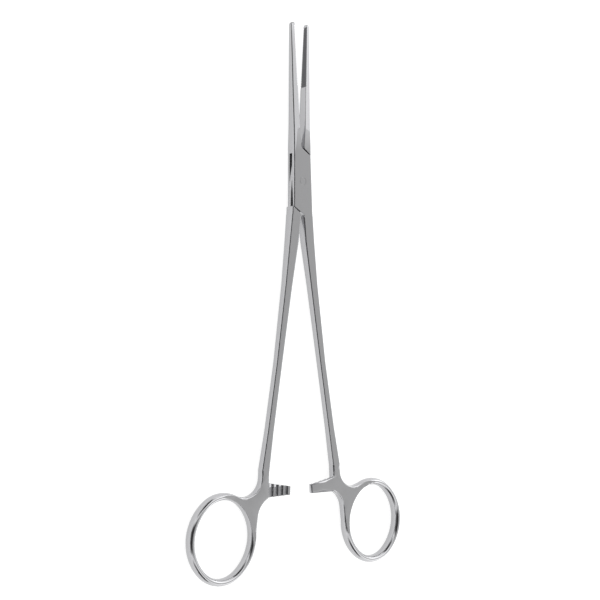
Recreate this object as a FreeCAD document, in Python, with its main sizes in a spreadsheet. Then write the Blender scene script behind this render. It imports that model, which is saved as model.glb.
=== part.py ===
"""Slim straight hemostat forceps with a box lock, serrated jaws and a ratchet (millimetres)."""

import FreeCAD, Part
import math
import os
import re

import Sketcher

# Frame: +Y runs from the lock pin to the jaw tips, +Z is the front face, and the
# origin is on the pin axis in the underside of the box lock.
# Both halves are modelled shut, about the middle of their thickness, with the jaw
# on -X and the finger ring on +X. The tongue half is that form turned over.
# Heights and reaches are measured from the pin towards the tips, drops from the pin
# towards the rings, rises from the middle of the ring back towards the pin.

DIMENSIONS = {
    # opening of the photographed pose, measured between the two halves
    "rest_opening": 5.2,
    # box lock
    "box_thickness": 4.4,
    "box_half_width": 3.8,
    "notch_height": 11.9,
    "notch_offset": 0.3,
    "notch_run": 0.48,
    "shoulder_height": 9.4,
    "shoulder_width": 4.3,
    "crossing_width": 4.2,
    "crotch_width": 4.0,
    "core_width": 1.9,
    "root_length": 1.1,
    "slot_step": 0.6,
    "slot_width": 1.5,
    "tongue_clearance": 0.06,
    "lock_gap": 0.12,
    "edge_radius": 0.5,
    "pin_diameter": 2.6,
    "pin_clearance": 0.05,
    # jaw: distances from the pin, and sizes at each of its sections
    "root_width": 3.2,
    "heel_reach": 19.8,
    "heel_width": 2.85,
    "heel_face": 4.25,
    "heel_back": 3.8,
    "middle_width": 2.35,
    "middle_face": 3.35,
    "middle_back": 2.85,
    "fore_width": 1.95,
    "fore_face": 2.75,
    "fore_back": 2.2,
    "tip_reach": 58.2,
    "tip_width": 1.6,
    "tip_face": 2.15,
    "tip_back": 1.6,
    "nose_length": 0.6,
    # gripping face, with its distance from the centre line when shut
    "grip_length": 23.4,
    "grip_relief_heel": 0.35,
    "grip_relief_start": 0.2,
    "grip_relief_tip": 0.06,
    "serration_pitch": 0.9,
    "serration_depth": 0.28,
    # shank: centre, width and thickness at each section
    "shank_gap": 0.06,
    "shank_root_width": 4.1,
    "neck_drop": 22.0,
    "neck_centre": 2.55,
    "neck_width": 4.0,
    "neck_thickness": 3.9,
    "upper_drop": 38.0,
    "upper_centre": 3.95,
    "upper_width": 3.1,
    "upper_thickness": 3.3,
    "waist_rise": 61.0,
    "waist_centre": 6.65,
    "waist_width": 2.5,
    "waist_thickness": 2.85,
    "lower_rise": 37.0,
    "lower_centre": 9.35,
    "lower_width": 2.6,
    "lower_thickness": 2.9,
    "wrist_rise": 23.0,
    "wrist_centre": 11.0,
    "wrist_width": 3.2,
    # web between shank, ring and ratchet
    "web_thickness": 3.2,
    "web_bevel": 0.4,
    "web_overlap": 0.26,
    "web_reach_angle": 20.0,
    "web_lateral_rise": 12.2,
    "web_lateral_radius": 6.4,
    "web_medial_rise": 10.7,
    "web_medial_lean": 0.7,
    "web_medial_radius": 7.5,
    # finger ring
    "ring_centre_x": 27.4,
    "ring_drop": 127.0,
    "ring_hole_width": 22.2,
    "ring_hole_length": 26.5,
    "ring_end_radius": 10.5,
    "ring_wire_width": 2.56,
    "ring_wire_thickness": 4.4,
    "ring_flat_offset": 13.4,
    "ring_flat_rise": 12.0,
    "ring_flat_reach": 10.0,
    "ring_flat_runout": 5.0,
    # ratchet
    "ratchet_tip": 0.85,
    "ratchet_top_root": 18.5,
    "ratchet_top_tip": 17.0,
    "ratchet_bottom_root": 13.3,
    "ratchet_bottom_tip": 13.9,
    "ratchet_gap": 0.05,
    "ratchet_pitch": 2.1,
    "ratchet_crest": 0.3,
    "ratchet_depth": 0.6,
    "ratchet_teeth": 4,
    "ratchet_fillet": 1.3,
}

# Sections of the blunt nose: how far before the tip, and their share of the tip's size.
NOSE = (("tip", "nose_length", 1.0), ("nose", "nose_length / 4", 0.8), ("end", "0", 0.5))
NOSE_ROUNDING = 0.35

# How far a cut runs past the steel that it takes away.
PAST = 2.0

# Two points closer than this are the same point.
TOUCHING = 1e-6

# Places that more than one feature shares.
FAR = f"(box_half_width + {PAST})"
THROUGH = "(2 * box_thickness)"
ROOT = "(notch_height + root_length)"
SLOT_SIDE = "(shoulder_height + slot_step)"
WRIST = "(ring_drop - wrist_rise)"
GRIP_START = "(tip_reach - grip_length)"
RATCHET_BOTTOM = "(ratchet_bottom_root - ring_drop)"
RATCHET_TOP = "(ratchet_top_root - ring_drop)"
WRIST_MEDIAL = "(wrist_centre - wrist_width / 2)"
WRIST_LATERAL = "(wrist_centre + wrist_width / 2)"

document = FreeCAD.newDocument("hemostat_forceps")
sheet = document.addObject("Spreadsheet::Sheet", "Sizes")
for row, (alias, value) in enumerate(DIMENSIONS.items(), start=1):
    sheet.set(f"A{row}", alias.replace("_", " "))
    sheet.set(f"B{row}", str(value))
    sheet.setAlias(f"B{row}", alias)
document.recompute()


def size(expression):
    """Value of an expression over the sheet's aliases, as a plain number."""
    value = sheet.evalExpression(expression)
    return float(getattr(value, "Value", value))


def on_sheet(expression):
    """The same expression as another object of the document has to write it."""
    return re.sub(r"[a-z]+(_[a-z]+)+", lambda alias: "Sizes." + alias.group(), expression)


def bind(sketch, constraint, name, expression):
    """Add a constraint that takes its value from the sheet."""
    index = sketch.addConstraint(constraint)
    sketch.renameConstraint(index, name)
    sketch.setExpression("Constraints." + name, on_sheet(expression))


def place_point(sketch, geometry, position, x, y, name):
    """Hold a point of the sketch at x, y, both expressions over the sheet."""
    for axis, expression, own_axis in (("X", x, -2), ("Y", y, -1)):
        if expression == "0":
            sketch.addConstraint(Sketcher.Constraint("PointOnObject", geometry, position, own_axis))
            continue
        value = size(expression)
        if value < 0:
            ends = (geometry, position, -1, 1)
            expression = f"-({expression})"
        else:
            ends = (-1, 1, geometry, position)
        constraint = Sketcher.Constraint("Distance" + axis, *ends, abs(value))
        bind(sketch, constraint, f"{name}_{axis.lower()}", expression)


def origin_plane(body, role):
    return next(item for item in body.Origin.OriginFeatures if item.Role == role)


def new_sketch(body, name, role, offset=None):
    """Sketch on one of the body's own planes, or off it by an offset."""
    sketch = body.newObject("Sketcher::SketchObject", name)
    sketch.AttachmentSupport = [(origin_plane(body, role), "")]
    sketch.MapMode = "FlatFace"
    if offset is not None:
        sketch.setExpression("AttachmentOffset.Base.z", on_sheet(offset))
    return sketch


def outline(sketch, corners):
    """Closed outline through corners, each an x, a y and, where it is rounded, a radius."""
    points = [FreeCAD.Vector(size(corner[0]), size(corner[1]), 0) for corner in corners]
    radii = [size(corner[2]) if len(corner) == 3 else 0 for corner in corners]
    count = len(corners)
    starts, ends, centres, turns = [], [], [], []
    for i, point in enumerate(points):
        back = (points[i - 1] - point).normalize()
        ahead = (points[(i + 1) % count] - point).normalize()
        half = back.getAngle(ahead) / 2
        starts.append(point + back * (radii[i] / math.tan(half)))
        ends.append(point + ahead * (radii[i] / math.tan(half)))
        centres.append(point + (back + ahead).normalize() * (radii[i] / math.sin(half)))
        turns.append(1 if ahead.cross(back).z > 0 else -1)
    for i in range(count):
        sketch.addGeometry(Part.LineSegment(ends[i], starts[(i + 1) % count]))
    for i, corner in enumerate(corners):
        before = (i - 1) % count
        if radii[i] == 0:
            sketch.addConstraint(Sketcher.Constraint("Coincident", before, 2, i, 1))
            place_point(sketch, i, 1, corner[0], corner[1], f"corner{i}")
            continue
        first, last = (starts[i], ends[i]) if turns[i] > 0 else (ends[i], starts[i])
        circle = Part.Circle(centres[i], FreeCAD.Vector(0, 0, 1), radii[i])
        arc = sketch.addGeometry(Part.ArcOfCircle(circle, circle.parameter(first), circle.parameter(last)))
        entry, leave = (1, 2) if turns[i] > 0 else (2, 1)
        sketch.addConstraint(Sketcher.Constraint("Tangent", before, 2, arc, entry))
        sketch.addConstraint(Sketcher.Constraint("Tangent", arc, leave, i, 1))
        sharp = sketch.addGeometry(Part.Point(points[i]), True)
        sketch.addConstraint(Sketcher.Constraint("PointOnObject", sharp, 1, before))
        sketch.addConstraint(Sketcher.Constraint("PointOnObject", sharp, 1, i))
        place_point(sketch, sharp, 1, corner[0], corner[1], f"corner{i}")
        bind(sketch, Sketcher.Constraint("Radius", arc, radii[i]), f"radius{i}", corner[2])


def ellipse(sketch, centre, across, along):
    """Ellipse about centre, with its full width and height."""
    middle = FreeCAD.Vector(size(centre[0]), size(centre[1]), 0)
    wide, tall = size(across), size(along)
    major = middle + FreeCAD.Vector(0, tall / 2, 0)
    minor = middle - FreeCAD.Vector(wide / 2, 0, 0)
    curve = sketch.addGeometry(Part.Ellipse(major, minor, middle))
    sketch.exposeInternalGeometry(curve)
    long_axis, short_axis = curve + 1, curve + 2
    place_point(sketch, curve, 3, centre[0], centre[1], "centre")
    sketch.addConstraint(Sketcher.Constraint("Vertical", long_axis))
    bind(sketch, Sketcher.Constraint("Distance", long_axis, tall), "height", along)
    bind(sketch, Sketcher.Constraint("Distance", short_axis, wide), "width", across)


def ring_line(sketch):
    """Oval along the middle of the ring's wire: two round ends joined by two flatter sides."""
    half_width = "((ring_hole_width + ring_wire_width) / 2)"
    half_length = "((ring_hole_length + ring_wire_width) / 2)"
    end_reach = f"({half_length} - ring_end_radius)"
    side_radius = (
        f"({half_width} * {half_width} + {end_reach} * {end_reach} - ring_end_radius * ring_end_radius)"
        f" / 2 / ({half_width} - ring_end_radius)"
    )
    middle = FreeCAD.Vector(size("ring_centre_x"), -size("ring_drop"), 0)
    end_shift = FreeCAD.Vector(0, size(end_reach), 0)
    side_shift = FreeCAD.Vector(size(f"{side_radius} - {half_width}"), 0, 0)
    joint = math.atan2(end_shift.y, side_shift.x)
    small, large = size("ring_end_radius"), size(side_radius)
    for centre, radius, first, last in (
        (middle + end_shift, small, joint, math.pi - joint),
        (middle + side_shift, large, math.pi - joint, math.pi + joint),
        (middle - end_shift, small, math.pi + joint, -joint),
        (middle - side_shift, large, -joint, joint),
    ):
        circle = Part.Circle(centre, FreeCAD.Vector(0, 0, 1), radius)
        sketch.addGeometry(Part.ArcOfCircle(circle, first, last))
    for arc in range(4):
        sketch.addConstraint(Sketcher.Constraint("Tangent", arc, 2, (arc + 1) % 4, 1))
    place_point(sketch, 0, 3, "ring_centre_x", f"{end_reach} - ring_drop", "top")
    place_point(sketch, 2, 3, "ring_centre_x", f"-{end_reach} - ring_drop", "bottom")
    bind(sketch, Sketcher.Constraint("Radius", 0, small), "ends", "ring_end_radius")
    bind(sketch, Sketcher.Constraint("Radius", 1, large), "sides", side_radius)
    sketch.addConstraint(Sketcher.Constraint("Equal", 0, 2))
    sketch.addConstraint(Sketcher.Constraint("Equal", 1, 3))


def shank_section(body, name, drop, near, far, thickness):
    """Rounded rectangle across the shank, from near to far of the centre line."""
    sketch = new_sketch(body, name.capitalize() + "Section", "XZ_Plane", drop)
    top = f"{thickness} / 2"
    outline(sketch, [
        (far, top, "edge_radius"),
        (near, top, "edge_radius"),
        (near, f"-{top}", "edge_radius"),
        (far, f"-{top}", "edge_radius"),
    ])
    return sketch


def jaw_section(body, name, reach, width, face, back, corner="edge_radius"):
    """Section across the jaw: face is its height at the gripping side, back at the outside."""
    sketch = new_sketch(body, name.capitalize() + "Section", "XZ_Plane", f"-({reach})")
    outline(sketch, [
        ("notch_offset", f"{face} / 2"),
        (f"-{width}", f"{back} / 2", corner),
        (f"-{width}", f"-{back} / 2", corner),
        ("notch_offset", f"-{face} / 2"),
    ])
    return sketch


def pad(body, sketch, name, length, side="Symmetric"):
    """Raise the sketch to both sides of its plane, or to one."""
    feature = body.newObject("PartDesign::Pad", name)
    feature.Profile = sketch
    feature.SideType = side
    feature.setExpression("Length", on_sheet(length))
    document.recompute()
    return feature


def pocket(body, sketch, name, length, side="Symmetric", upward=False):
    """Cut the sketch into the half: to both sides of its plane, or only down or up from it."""
    feature = body.newObject("PartDesign::Pocket", name)
    feature.Profile = sketch
    feature.SideType = side
    feature.Reversed = upward
    feature.setExpression("Length", on_sheet(length))
    document.recompute()
    return feature


def pattern(body, feature, name, axis, step, copies):
    """Row of copies of the feature along an axis of its own sketch."""
    row = body.newObject("PartDesign::LinearPattern", name)
    row.Originals = [feature]
    row.Direction = (feature.Profile[0], [axis])
    row.setExpression("Length", on_sheet(f"({copies} - 1) * {step}"))
    row.setExpression("Occurrences", on_sheet(copies))
    body.Tip = row
    document.recompute()


def loft(body, sections, name):
    """Straight-sided steel between the sections."""
    feature = body.newObject("PartDesign::AdditiveLoft", name)
    feature.Profile = sections[0]
    feature.Sections = sections[1:]
    feature.Ruled = True
    document.recompute()


def add_web(body):
    """Flat web that joins shank, ring and ratchet bar. It ends under the ring's wire."""
    along = "(ring_hole_width / 2 + ring_wire_width - web_overlap)"
    down = "(ring_hole_length / 2 + ring_wire_width - web_overlap)"
    side = f"(ring_centre_x - {along})"
    top_x = f"ring_centre_x - {along} * sin(web_reach_angle * 1deg)"
    top_y = f"-ring_drop + {down} * cos(web_reach_angle * 1deg)"
    shape = new_sketch(body, "WebOutline", "XY_Plane")
    outline(shape, [
        (WRIST_MEDIAL, f"-{WRIST}"),
        (WRIST_MEDIAL, RATCHET_BOTTOM),
        (f"{side} - web_medial_lean", "web_medial_rise - ring_drop", "web_medial_radius"),
        (side, "-ring_drop"),
        ("ring_centre_x", "-ring_drop"),
        (top_x, top_y),
        (WRIST_LATERAL, "web_lateral_rise - ring_drop", "web_lateral_radius"),
        (WRIST_LATERAL, f"-{WRIST}"),
    ])
    pad(body, shape, "Web", "web_thickness")
    bar = new_sketch(body, "RatchetOutline", "XY_Plane", "ratchet_gap")
    outline(bar, [
        (f"{WRIST_MEDIAL} + ratchet_fillet", RATCHET_BOTTOM),
        (f"{WRIST_MEDIAL} + ratchet_fillet", f"{RATCHET_TOP} + 2 * ratchet_fillet"),
        (WRIST_MEDIAL, f"{RATCHET_TOP} + 2 * ratchet_fillet"),
        (WRIST_MEDIAL, RATCHET_TOP, "ratchet_fillet"),
        ("-ratchet_tip", "ratchet_top_tip - ring_drop"),
        ("-ratchet_tip", "ratchet_bottom_tip - ring_drop"),
        (WRIST_MEDIAL, RATCHET_BOTTOM),
    ])
    return pad(body, bar, "RatchetBar", "web_thickness / 2 - ratchet_gap", "One side")


def bevel_web(body, web):
    """Break the front and back edges of the web and of the ratchet bar."""
    face = size("web_thickness / 2")
    wrist = -size(WRIST)
    middle_x, middle_y = size("ring_centre_x"), -size("ring_drop")
    rims = []
    for number, edge in enumerate(web.Shape.Edges, start=1):
        ends = [vertex.Point for vertex in edge.Vertexes]
        level = all(abs(abs(end.z) - face) < TOUCHING for end in ends)
        across_wrist = all(abs(end.y - wrist) < TOUCHING for end in ends)
        under_ring = any(math.hypot(end.x - middle_x, end.y - middle_y) < TOUCHING for end in ends)
        if level and not across_wrist and not under_ring:
            rims.append(f"Edge{number}")
    bevel = body.newObject("PartDesign::Chamfer", "WebEdges")
    bevel.Base = (web, rims)
    bevel.setExpression("Size", on_sheet("web_bevel"))
    document.recompute()


def add_ring(body):
    """Finger ring: the web is cut out along the middle of the wire, which then runs round."""
    hole = new_sketch(body, "HoleOutline", "XY_Plane")
    ring_line(hole)
    pocket(body, hole, "Hole", THROUGH)
    path = new_sketch(body, "RingPath", "XY_Plane")
    ring_line(path)
    start = "ring_centre_x - (ring_hole_width + ring_wire_width) / 2"
    wire = new_sketch(body, "WireSection", "XZ_Plane", "ring_drop")
    ellipse(wire, (start, "0"), "ring_wire_width", "ring_wire_thickness")
    document.recompute()
    ring = body.newObject("PartDesign::AdditivePipe", "Ring")
    ring.Profile = wire
    ring.Spine = (path, ["Edge1", "Edge2", "Edge3", "Edge4"])
    ring.Refine = False
    document.recompute()


def grind_ring(body):
    """Dish the wire down to the web's faces near their junction, front and back."""
    for name, sign, turn in (("FrontFlat", "", 0), ("BackFlat", "-", 180)):
        dish = body.newObject("PartDesign::SubtractiveCone", name)
        dish.AttachmentSupport = [(origin_plane(body, "XY_Plane"), "")]
        dish.MapMode = "FlatFace"
        facing = FreeCAD.Rotation(FreeCAD.Vector(1, 0, 0), turn)
        dish.AttachmentOffset = FreeCAD.Placement(FreeCAD.Vector(0, 0, 0), facing)
        dish.setExpression("AttachmentOffset.Base.x", on_sheet("ring_centre_x - ring_flat_offset"))
        dish.setExpression("AttachmentOffset.Base.y", on_sheet("ring_flat_rise - ring_drop"))
        dish.setExpression("AttachmentOffset.Base.z", on_sheet(f"{sign}web_thickness / 2"))
        dish.setExpression("Radius1", on_sheet("ring_flat_reach"))
        dish.setExpression("Radius2", on_sheet("ring_flat_reach + 2 * ring_flat_runout"))
        dish.setExpression("Height", on_sheet("ring_wire_thickness - web_thickness"))
        dish.Refine = False
        document.recompute()


def add_shank(body):
    """Shank, from the box's jaw end, where it lies in the lock, down to the web."""
    sections = []
    for name, drop, near, far in (
        ("crossing", f"-{ROOT}", "-core_width", "crossing_width"),
        ("crotch", "notch_height", "-core_width", "crotch_width"),
        ("root", ROOT, "shank_gap", "shank_root_width"),
    ):
        sections.append(shank_section(body, name, drop, near, far, "box_thickness"))
    for name, drop, thickness in (
        ("neck", "neck_drop", "neck_thickness"),
        ("upper", "upper_drop", "upper_thickness"),
        ("waist", "ring_drop - waist_rise", "waist_thickness"),
        ("lower", "ring_drop - lower_rise", "lower_thickness"),
        ("wrist", WRIST, "web_thickness"),
    ):
        near = f"{name}_centre - {name}_width / 2"
        far = f"{name}_centre + {name}_width / 2"
        sections.append(shank_section(body, name, drop, near, far, thickness))
    loft(body, sections, "Shank")


def cut_teeth(body):
    """Saw teeth on the inner side of the bar, steep towards its root so that the bars hook."""
    shape = new_sketch(body, "ToothOutline", "XZ_Plane", "ring_drop - ratchet_bottom_tip")
    first = "(ratchet_pitch / 2 - ratchet_tip)"
    last = f"({first} + ratchet_pitch - ratchet_crest)"
    outline(shape, [
        (first, "ratchet_gap / 2"),
        (last, "ratchet_gap / 2"),
        (last, "ratchet_gap"),
        (first, "ratchet_gap + ratchet_depth"),
    ])
    tooth = pocket(body, shape, "Tooth", "2 * (ratchet_top_root - ratchet_bottom_root)")
    pattern(body, tooth, "Teeth", "H_Axis", "ratchet_pitch", "ratchet_teeth")


def add_jaw(body):
    """Jaw, from the box's shank end, where it lies in the lock, up to the blunt nose."""
    sections = []
    for name, reach, width in (
        ("start", f"-{ROOT}", "shoulder_width"),
        ("shoulder", "-shoulder_height", "shoulder_width"),
        ("throat", ROOT, "root_width"),
    ):
        sections.append(jaw_section(body, name, reach, width, "box_thickness", "box_thickness"))
    for name, reach in (
        ("heel", "heel_reach"),
        ("middle", GRIP_START),
        ("fore", "tip_reach - grip_length / 2"),
    ):
        sections.append(jaw_section(body, name, reach, f"{name}_width", f"{name}_face", f"{name}_back"))
    for name, before_tip, share in NOSE:
        width, face, back = (f"tip_{side} * {share}" for side in ("width", "face", "back"))
        corner = f"{back} * {NOSE_ROUNDING}"
        sections.append(jaw_section(body, name, f"tip_reach - {before_tip}", width, face, back, corner))
    loft(body, sections, "Jaw")


def cut_inner_sides(body, notch_x, side_height, trim):
    """Cut the free shoulders, and grind the jaw's gripping side and the shank's root."""
    notch = f"(notch_height - {trim})"
    side = f"({side_height} - {trim})"
    slope = f"(({notch} - {side}) / (box_half_width - {notch_x}))"
    beyond = f"(tip_reach + {PAST})"
    inner_start = "(notch_height + notch_run)"
    jaw_side = new_sketch(body, "JawSideOutline", "XY_Plane")
    outline(jaw_side, [
        (FAR, f"{side} - {PAST} * {slope}"),
        (FAR, beyond),
        ("-grip_relief_tip", beyond),
        ("-grip_relief_tip", "tip_reach"),
        ("-grip_relief_start", GRIP_START),
        ("-grip_relief_heel", "heel_reach"),
        ("-shank_gap", ROOT),
        ("-shank_gap", inner_start),
        (notch_x, notch),
    ])
    pocket(body, jaw_side, "JawSide", THROUGH)
    shank_side = new_sketch(body, "ShankSideOutline", "XY_Plane")
    outline(shank_side, [
        (f"-{FAR}", f"-({side} - {PAST} * {slope})"),
        (f"-{FAR}", f"-{ROOT} - {PAST}"),
        ("shank_gap", f"-{ROOT} - {PAST}"),
        ("shank_gap", f"-{inner_start}"),
        (f"-{notch_x}", f"-{notch}"),
    ])
    pocket(body, shank_side, "ShankSide", THROUGH)


def cut_serrations(body):
    """Cross serrations of the gripping face, square to it."""
    lean = "atan((grip_relief_start - grip_relief_tip) / grip_length)"
    rise = "(serration_depth / 4)"
    flare = "(serration_pitch / 8)"
    groove = new_sketch(body, "SerrationOutline", "XY_Plane")
    groove.setExpression("AttachmentOffset.Base.x", on_sheet("-grip_relief_start"))
    groove.setExpression("AttachmentOffset.Base.y", on_sheet(GRIP_START))
    groove.setExpression("AttachmentOffset.Rotation.Angle", on_sheet(f"-{lean}"))
    outline(groove, [
        ("-serration_depth", "serration_pitch / 2"),
        (rise, f"-{flare}"),
        (rise, f"serration_pitch + {flare}"),
    ])
    first = pocket(body, groove, "Serration", THROUGH)
    pattern(body, first, "Serrations", "V_Axis", "serration_pitch", "floor(grip_length / serration_pitch)")


def cut_slot(body):
    """Slot between the cheeks of the box, with end walls that clear the turning tongue."""
    shape = new_sketch(body, "SlotOutline", "XY_Plane")
    outline(shape, [
        (f"-{FAR}", SLOT_SIDE),
        (f"-{FAR}", "-notch_height"),
        ("-notch_offset", "-notch_height"),
        ("box_half_width", f"-{SLOT_SIDE}"),
        (FAR, f"-{SLOT_SIDE}"),
        (FAR, "notch_height"),
        ("notch_offset", "notch_height"),
        ("-box_half_width", SLOT_SIDE),
    ])
    pocket(body, shape, "Slot", "slot_width")


def cut_tongue(body):
    """Thin the lock to a tongue, where the cheeks of the box lie over it."""
    notch = "(notch_height + lock_gap)"
    side = "(shoulder_height + lock_gap)"
    tongue = "(slot_width / 2 - tongue_clearance)"
    for name, sign, upward in (("FrontCheekRoom", "", True), ("BackCheekRoom", "-", False)):
        shape = new_sketch(body, name + "Outline", "XY_Plane", sign + tongue)
        outline(shape, [
            (f"-{FAR}", side),
            (f"-{FAR}", f"-{notch}"),
            ("notch_offset", f"-{notch}"),
            ("box_half_width", f"-{side}"),
            (FAR, f"-{side}"),
            (FAR, notch),
            ("-notch_offset", notch),
            ("-box_half_width", side),
        ])
        pocket(body, shape, name, "box_thickness", "One side", upward)
    flush = new_sketch(body, "TongueSideOutline", "XY_Plane")
    outline(flush, [
        ("shoulder_width", "-shoulder_height"),
        (FAR, "-shoulder_height"),
        (FAR, ROOT),
        ("root_width", ROOT),
    ])
    pocket(body, flush, "TongueSide", THROUGH)


def bore(body, diameter):
    """Hole for the lock pin, right through."""
    hole = new_sketch(body, "PinHoleOutline", "XY_Plane")
    radius = size(diameter) / 2
    hole.addGeometry(Part.Circle(FreeCAD.Vector(0, 0, 0), FreeCAD.Vector(0, 0, 1), radius))
    hole.addConstraint(Sketcher.Constraint("Coincident", 0, 3, -1, 1))
    bind(hole, Sketcher.Constraint("Diameter", 0, 2 * radius), "diameter", diameter)
    pocket(body, hole, "PinHole", THROUGH)


def forged_half(label, notch_x, side_height, trim):
    """What both halves have in common, before the lock is cut and the ring is added."""
    body = document.addObject("PartDesign::Body", label)
    body.Label = label
    web = add_web(body)
    bevel_web(body, web)
    add_shank(body)
    add_jaw(body)
    cut_inner_sides(body, notch_x, side_height, trim)
    cut_serrations(body)
    cut_teeth(body)
    return body


def lay_down(body, turn):
    """Set the half on its box's underside, turned to the pose at rest."""
    body.setExpression("Placement", on_sheet(f"placement(vector(0; 0; box_thickness / 2); {turn})"))


box_half = forged_half("box_half", "notch_offset", "shoulder_height", "0")
cut_slot(box_half)
bore(box_half, "pin_diameter")
add_ring(box_half)
grind_ring(box_half)
lay_down(box_half, "rotation(vector(0; 0; 1); rest_opening / 2)")

tongue_half = forged_half("tongue_half", "(-notch_offset - lock_gap)", SLOT_SIDE, "lock_gap")
cut_tongue(tongue_half)
bore(tongue_half, "pin_diameter + 2 * pin_clearance")
add_ring(tongue_half)
grind_ring(tongue_half)
turning_axis = "vector(sin(rest_opening / 4 * 1deg); cos(rest_opening / 4 * 1deg); 0)"
lay_down(tongue_half, f"rotation({turning_axis}; 180)")

lock_pin = document.addObject("Part::Cylinder", "lock_pin")
lock_pin.Label = "lock_pin"
lock_pin.setExpression("Radius", on_sheet("pin_diameter / 2"))
lock_pin.setExpression("Height", on_sheet("box_thickness"))

document.recompute()

failed = [item.Name for item in document.Objects if "Invalid" in item.State or "Error" in item.State]
pieces = (box_half, tongue_half, lock_pin)
failed += [piece.Label for piece in pieces if piece.Shape.isNull() or not piece.Shape.isValid()]
if failed:
    raise RuntimeError("not built: " + ", ".join(failed))

os.makedirs("parts", exist_ok=True)
for piece in pieces:
    piece.Shape.exportStep(f"parts/{piece.Label}.step")
    print(piece.Label, "solids:", len(piece.Shape.Solids), "volume:", round(piece.Shape.Volume, 2))
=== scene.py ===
"""Studio scene for the hemostat forceps: finishes of the steel, floor, light and camera."""

import math

import bmesh
import bpy
from mathutils import Matrix, Vector


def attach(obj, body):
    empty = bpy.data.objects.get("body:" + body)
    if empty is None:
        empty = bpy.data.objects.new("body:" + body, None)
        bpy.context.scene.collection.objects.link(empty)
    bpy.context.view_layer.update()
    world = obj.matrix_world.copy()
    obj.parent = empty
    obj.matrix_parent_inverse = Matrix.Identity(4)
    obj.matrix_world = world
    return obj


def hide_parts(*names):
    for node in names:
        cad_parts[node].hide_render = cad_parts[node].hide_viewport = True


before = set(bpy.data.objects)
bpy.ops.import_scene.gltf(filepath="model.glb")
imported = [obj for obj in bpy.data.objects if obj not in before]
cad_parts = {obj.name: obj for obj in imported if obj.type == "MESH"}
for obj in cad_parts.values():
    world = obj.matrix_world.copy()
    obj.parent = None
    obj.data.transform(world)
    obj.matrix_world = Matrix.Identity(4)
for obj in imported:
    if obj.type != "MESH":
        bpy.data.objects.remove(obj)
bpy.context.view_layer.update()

MM = 0.001

# Camera: where it aims, how far it stands, and how it is turned about the forceps, in degrees.
CAMERA_AIM = Vector((-0.16, -43.1, 2.67)) * MM
CAMERA_DISTANCE = 383.6 * MM
CAMERA_SIDE_ANGLE = 36.0
CAMERA_TIP = 2.05
CAMERA_ROLL = -0.1
CAMERA_LENS = 63.49
SENSOR_WIDTH = 36.0
CLIP_NEAR = 0.01
CLIP_FAR = 20

# Colours of the steel's finishes. All are one alloy. The cut and ground places get a darker colour:
# painted shade of the cuts in the gripping faces and of the valleys between the ratchet teeth.
POLISHED_STEEL = "#b2b2b4"
SATIN_STEEL = "#868687"
TOOTH_GROUND_AND_SHADE = "#828284"
GRIP_CUT_SHADE = "#5e5e60"
POLISHED_ROUGHNESS = 0.14
SATIN_ROUGHNESS = 0.38
TOOTH_ROUGHNESS = 0.62

# Satin shows where the surface faces the front or the back by more than SATIN_FACING.
SATIN_FACING = 0.985
SATIN_FACING_BLEND = 0.02
# The satin flats end in a slanting line across the root of each jaw, and thin before it.
SATIN_END = 20.0 * MM
SATIN_SLANT = 0.42
SATIN_THINS = 9.0 * MM
SATIN_THINNED = 0.5
# A bright polished strip runs along the box's left edge, from its foot towards the jaws: a painted
# highlight, lighter than the satin on the same flat face.
HIGHLIGHT_STRIP_FOOT = Vector((-3.9, 5.8)) * MM
HIGHLIGHT_STRIP_LEAN = 0.128

# The cross cuts of the gripping faces lie past this point and face along the jaw.
GRIP_FROM = 30.0 * MM
CUT_FACING = (0.2, 0.3)
# The teeth are on the two ratchet bars, which meet at the middle.
BARS_REACH = 14.3 * MM
BARS_MIDDLE = -112.2 * MM
BARS_HALF_WIDTH = 2.6 * MM
TOOTH_FACING = 0.2

# Blasting leaves dents of about 0.05 mm, drawn coarser so that they show.
GRAIN = 0.12 * MM
GRAIN_DETAIL = 2.0
GRAIN_BUMP = 0.06
GRAIN_DEPTH = 0.01 * MM
GRAIN_UNEVEN = 0.03
# Polishing breaks every edge by 0.1 to 0.2 mm, drawn wider so that it shows.
EDGE_BREAK = 0.35 * MM
EDGE_SAMPLES = 6
# Edges sharper than this stay sharp, in degrees. The rest are shaded smooth.
SHADE_ANGLE = 50.0
SAME_POINT = 0.0005 * MM

# The board is grey and glows, so it looks white and its reflection stays soft.
BOARD_GREY = "#9c9c9c"
BOARD_GLOW = "#ffffff"
BOARD_GLOW_STRENGTH = 0.86
BOARD_ROUGHNESS = 0.9
BOARD_REACH = 4.0

# Brightness of the studio from straight left over the top to straight right, in equal steps
# of 15 degrees: dark cards stand beside the camera, and the window is on the right.
STUDIO = (0.25, 0.1, 0.06, 0.05, 0.06, 0.22, 0.8, 1.15, 1.28, 1.45, 1.65, 1.65, 1.3)
# Brightness that the two softboxes add, before the rings and past the tips, from the middle
# to the far end in equal steps.
SOFTBOXES = (0.0, 0.0, 0.0, 0.0, 0.4, 1.3, 1.2, 0.4, 0.0, 0.0, 0.0)


def linear(colour):
    """Linear colour from an sRGB hex value."""
    channels = [int(colour[i:i + 2], 16) / 255 for i in (1, 3, 5)]
    return [c / 12.92 if c <= 0.04045 else ((c + 0.055) / 1.055) ** 2.4 for c in channels] + [1.0]


def add(tree, kind, inputs=None, **settings):
    """Add a node, set its values and link what is given as a socket."""
    node = tree.nodes.new(kind)
    for name, value in settings.items():
        setattr(node, name, value)
    for name, value in (inputs or {}).items():
        if isinstance(value, bpy.types.NodeSocket):
            tree.links.new(value, node.inputs[name])
        else:
            node.inputs[name].default_value = value
    return node


def all_of(tree, shares):
    """Share of the surface where every one of the given shares holds."""
    together = shares[0]
    for share in shares[1:]:
        together = add(tree, "ShaderNodeMath", {0: together, 1: share}, operation="MULTIPLY").outputs[0]
    return together


def new_material(name):
    material = bpy.data.materials.new(name)
    material.use_nodes = True
    material.node_tree.nodes.clear()
    return material, material.node_tree


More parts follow.
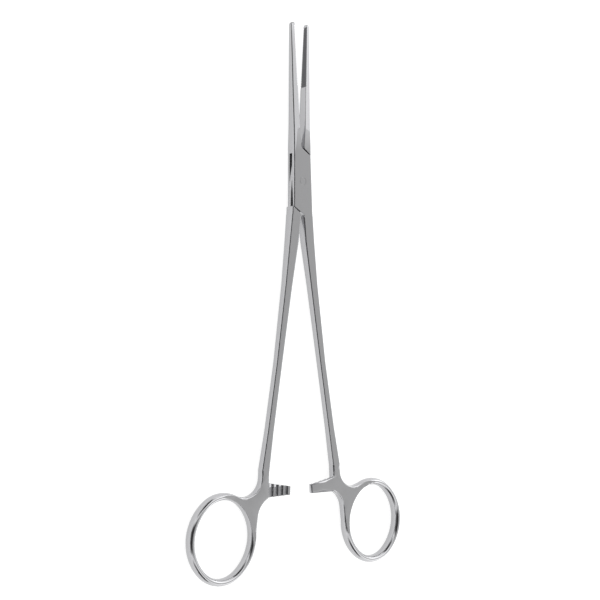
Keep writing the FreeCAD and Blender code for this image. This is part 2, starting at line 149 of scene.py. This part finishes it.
def satin_share(tree, flat, spot, across):
    """Where the blasted satin was left: the flats, but for the jaws and the painted highlight strip
    along the box's left edge.
    """
    slanted = add(tree, "ShaderNodeMath", {
        0: across, 1: SATIN_SLANT, 2: spot.outputs["Y"]
    }, operation="MULTIPLY_ADD")
    behind_jaws = add(tree, "ShaderNodeMath", {
        0: slanted.outputs[0], 1: SATIN_END
    }, operation="LESS_THAN")
    thinned = add(tree, "ShaderNodeMapRange", {
        "Value": spot.outputs["Y"],
        "From Min": SATIN_END - SATIN_THINS,
        "From Max": SATIN_END,
        "To Min": 1.0,
        "To Max": SATIN_THINNED,
    })
    highlight_strip_side = add(tree, "ShaderNodeMath", {
        0: spot.outputs["Y"], 1: -HIGHLIGHT_STRIP_LEAN, 2: spot.outputs["X"]
    }, operation="MULTIPLY_ADD")
    past_highlight_strip = add(tree, "ShaderNodeMath", {
        0: highlight_strip_side.outputs[0], 1: HIGHLIGHT_STRIP_FOOT.x - HIGHLIGHT_STRIP_LEAN * HIGHLIGHT_STRIP_FOOT.y
    }, operation="GREATER_THAN")
    below_highlight_strip = add(tree, "ShaderNodeMath", {
        0: spot.outputs["Y"], 1: HIGHLIGHT_STRIP_FOOT.y
    }, operation="LESS_THAN")
    beside_highlight_strip = add(tree, "ShaderNodeMath", {
        0: past_highlight_strip.outputs[0], 1: below_highlight_strip.outputs[0]
    }, operation="MAXIMUM")
    return all_of(tree, (
        flat, behind_jaws.outputs[0], thinned.outputs["Result"], beside_highlight_strip.outputs[0]
    ))


def grip_shade_share(tree, parts, spot):
    """Where the gripping faces are cross cut, and painted shade darkens the colour of their cuts."""
    along = add(tree, "ShaderNodeMath", {0: parts.outputs["Y"]}, operation="ABSOLUTE")
    cut = add(tree, "ShaderNodeMapRange", {
        "Value": along.outputs[0], "From Min": CUT_FACING[0], "From Max": CUT_FACING[1]
    })
    on_jaws = add(tree, "ShaderNodeMath", {
        0: spot.outputs["Y"], 1: GRIP_FROM
    }, operation="GREATER_THAN")
    return all_of(tree, (cut.outputs["Result"], on_jaws.outputs[0]))


def teeth_and_shade_share(tree, flat, facing, spot, across):
    """Where the ratchet bars are toothed: ground matt there, and darkened with painted shade of the
    tooth valleys.
    """
    near_middle = add(tree, "ShaderNodeMath", {0: across, 1: BARS_REACH}, operation="LESS_THAN")
    bar_height = add(tree, "ShaderNodeMath", {
        0: spot.outputs["Y"], 1: BARS_MIDDLE, 2: BARS_HALF_WIDTH
    }, operation="COMPARE")
    upwards = add(tree, "ShaderNodeMath", {0: facing, 1: TOOTH_FACING}, operation="GREATER_THAN")
    slope = add(tree, "ShaderNodeMath", {0: 1.0, 1: flat}, operation="SUBTRACT")
    return all_of(tree, (
        slope.outputs[0], near_middle.outputs[0], bar_height.outputs[0], upwards.outputs[0]
    ))


def forged_stainless():
    """Surgical stainless steel, drop forged, with the finishes that it gets afterwards.

    The sides, rings and jaws are polished, so they mirror the studio in soft light and dark
    bands. The flats are blasted to an even satin, so they stay one calm grey with a fine grain.
    The gripping faces are cross cut, and painted shade darkens their cuts. The ratchet teeth are
    ground and left matt, and painted shade darkens the valleys between them.
    """
    material, tree = new_material("forged_stainless_satin_and_polish")
    place = add(tree, "ShaderNodeTexCoord")
    parts = add(tree, "ShaderNodeSeparateXYZ", {"Vector": place.outputs["Normal"]})
    spot = add(tree, "ShaderNodeSeparateXYZ", {"Vector": place.outputs["Object"]})
    facing = add(tree, "ShaderNodeMath", {0: parts.outputs["Z"]}, operation="ABSOLUTE").outputs[0]
    across = add(tree, "ShaderNodeMath", {0: spot.outputs["X"]}, operation="ABSOLUTE").outputs[0]
    flat = add(tree, "ShaderNodeMapRange", {
        "Value": facing,
        "From Min": SATIN_FACING - SATIN_FACING_BLEND,
        "From Max": SATIN_FACING,
    }).outputs["Result"]
    satin = satin_share(tree, flat, spot, across)
    grip_shade = grip_shade_share(tree, parts, spot)
    teeth = teeth_and_shade_share(tree, flat, facing, spot, across)

    tint = linear(POLISHED_STEEL)
    # Painted shade darkens the cuts of the gripping faces and the valleys between the ratchet teeth.
    for share, colour in ((satin, SATIN_STEEL), (teeth, TOOTH_GROUND_AND_SHADE), (grip_shade, GRIP_CUT_SHADE)):
        tint = add(tree, "ShaderNodeMix", {
            "Factor": share, "A": tint, "B": linear(colour)
        }, data_type="RGBA").outputs["Result"]

    grain = add(tree, "ShaderNodeTexNoise", {
        "Vector": place.outputs["Object"], "Scale": 1 / GRAIN, "Detail": GRAIN_DETAIL
    })
    gloss = add(tree, "ShaderNodeMapRange", {
        "Value": satin, "To Min": POLISHED_ROUGHNESS, "To Max": SATIN_ROUGHNESS
    })
    matt = add(tree, "ShaderNodeMath", {
        0: teeth, 1: TOOTH_ROUGHNESS - POLISHED_ROUGHNESS, 2: gloss.outputs["Result"]
    }, operation="MULTIPLY_ADD")
    uneven = add(tree, "ShaderNodeMapRange", {
        "Value": grain.outputs["Fac"], "To Min": -GRAIN_UNEVEN, "To Max": GRAIN_UNEVEN
    })
    rough = add(tree, "ShaderNodeMath", {0: matt.outputs[0], 1: uneven.outputs["Result"]})
    broken_edge = add(tree, "ShaderNodeBevel", {"Radius": EDGE_BREAK}, samples=EDGE_SAMPLES)
    bump = add(tree, "ShaderNodeBump", {
        "Height": grain.outputs["Fac"],
        "Strength": GRAIN_BUMP,
        "Distance": GRAIN_DEPTH,
        "Normal": broken_edge.outputs["Normal"],
    })
    steel = add(tree, "ShaderNodeBsdfPrincipled", {
        "Base Color": tint,
        "Metallic": 1.0,
        "Roughness": rough.outputs[0],
        "Normal": bump.outputs["Normal"],
    })
    add(tree, "ShaderNodeOutputMaterial", {"Surface": steel.outputs["BSDF"]})
    return material


def studio_board():
    """Painted board of a seamless studio: matt, without a shine, and lit to nearly pure white."""
    material, tree = new_material("white_studio_board")
    board = add(tree, "ShaderNodeBsdfPrincipled", {
        "Base Color": linear(BOARD_GREY),
        "Roughness": BOARD_ROUGHNESS,
        "Emission Color": linear(BOARD_GLOW),
        "Emission Strength": BOARD_GLOW_STRENGTH,
    })
    add(tree, "ShaderNodeOutputMaterial", {"Surface": board.outputs["BSDF"]})
    return material


def add_floor():
    mesh = bpy.data.meshes.new("floor")
    corners = [(-BOARD_REACH, -BOARD_REACH, 0), (BOARD_REACH, -BOARD_REACH, 0)]
    corners += [(BOARD_REACH, BOARD_REACH, 0), (-BOARD_REACH, BOARD_REACH, 0)]
    mesh.from_pydata(corners, [], [(0, 1, 2, 3)])
    mesh.materials.append(studio_board())
    floor = bpy.data.objects.new("floor", mesh)
    bpy.context.collection.objects.link(floor)


def smooth_copy(node, material):
    """Copy of a forged piece whose curved faces are shaded smooth, with its true edges kept."""
    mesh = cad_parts[node].data.copy()
    shape = bmesh.new()
    shape.from_mesh(mesh)
    bmesh.ops.remove_doubles(shape, verts=shape.verts, dist=SAME_POINT)
    for edge in shape.edges:
        edge.smooth = edge.calc_face_angle(0.0) < math.radians(SHADE_ANGLE)
    for face in shape.faces:
        face.smooth = True
    shape.to_mesh(mesh)
    shape.free()
    mesh.materials.clear()
    mesh.materials.append(material)
    piece = bpy.data.objects.new("finished_" + node, mesh)
    bpy.context.collection.objects.link(piece)
    # Flats keep their own direction, so that only the bevels and rounds between them turn.
    weighted = piece.modifiers.new("flat_faces", "WEIGHTED_NORMAL")
    weighted.keep_sharp = True
    return piece


def add_camera():
    """Camera in front of the forceps and to its left, looking down on it."""
    side = Matrix.Rotation(-math.radians(CAMERA_SIDE_ANGLE), 3, "Y")
    tip = Matrix.Rotation(math.radians(CAMERA_TIP), 3, "X")
    roll = Matrix.Rotation(math.radians(CAMERA_ROLL), 3, "Z")
    turn = side @ tip @ roll
    stand = CAMERA_AIM + turn @ Vector((0, 0, CAMERA_DISTANCE))
    data = bpy.data.cameras.new("camera")
    data.lens = CAMERA_LENS
    data.sensor_width = SENSOR_WIDTH
    data.clip_start = CLIP_NEAR
    data.clip_end = CLIP_FAR
    camera = bpy.data.objects.new("camera", data)
    camera.matrix_world = Matrix.Translation(stand) @ turn.to_4x4()
    bpy.context.collection.objects.link(camera)
    bpy.context.scene.camera = camera


def brightness_steps(tree, value, steps, brightest):
    """Brightness that runs through equal steps as a value goes from 0 to 1."""
    node = add(tree, "ShaderNodeValToRGB", {"Fac": value})
    stops = node.color_ramp.elements
    last = len(steps) - 1
    for number, brightness in enumerate(steps):
        if number in (0, last):
            stop = stops[0 if number == 0 else -1]
        else:
            stop = stops.new(number / last)
        stop.color = [brightness / brightest] * 3 + [1]
    return node.outputs["Color"]


def add_light():
    """Soft light from all round, dark beside the camera and bright from the right."""
    world = bpy.data.worlds.new("studio")
    bpy.context.scene.world = world
    world.use_nodes = True
    tree = world.node_tree
    direction = add(tree, "ShaderNodeTexCoord")
    parts = add(tree, "ShaderNodeSeparateXYZ", {"Vector": direction.outputs["Generated"]})
    lean = add(tree, "ShaderNodeMath", {
        0: parts.outputs["X"], 1: parts.outputs["Z"]
    }, operation="ARCTAN2")
    over = add(tree, "ShaderNodeMapRange", {
        "Value": lean.outputs[0], "From Min": -math.pi / 2, "From Max": math.pi / 2
    })
    along = add(tree, "ShaderNodeMath", {0: parts.outputs["Y"]}, operation="ABSOLUTE")
    brightest = max(STUDIO + SOFTBOXES)
    light = add(tree, "ShaderNodeMix", {
        "Factor": 1.0,
        "A": brightness_steps(tree, over.outputs["Result"], STUDIO, brightest),
        "B": brightness_steps(tree, along.outputs[0], SOFTBOXES, brightest),
    }, data_type="RGBA", blend_type="ADD")
    sky = tree.nodes["Background"]
    tree.links.new(light.outputs["Result"], sky.inputs["Color"])
    sky.inputs["Strength"].default_value = brightest
    bpy.context.scene.view_settings.view_transform = "Standard"


steel = forged_stainless()
for node, body in (("box_half", "box_side"), ("tongue_half", "tongue_side"), ("lock_pin", "box_side")):
    piece = smooth_copy(node, steel)
    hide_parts(node)
    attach(piece, body)
add_floor()
add_camera()
add_light()
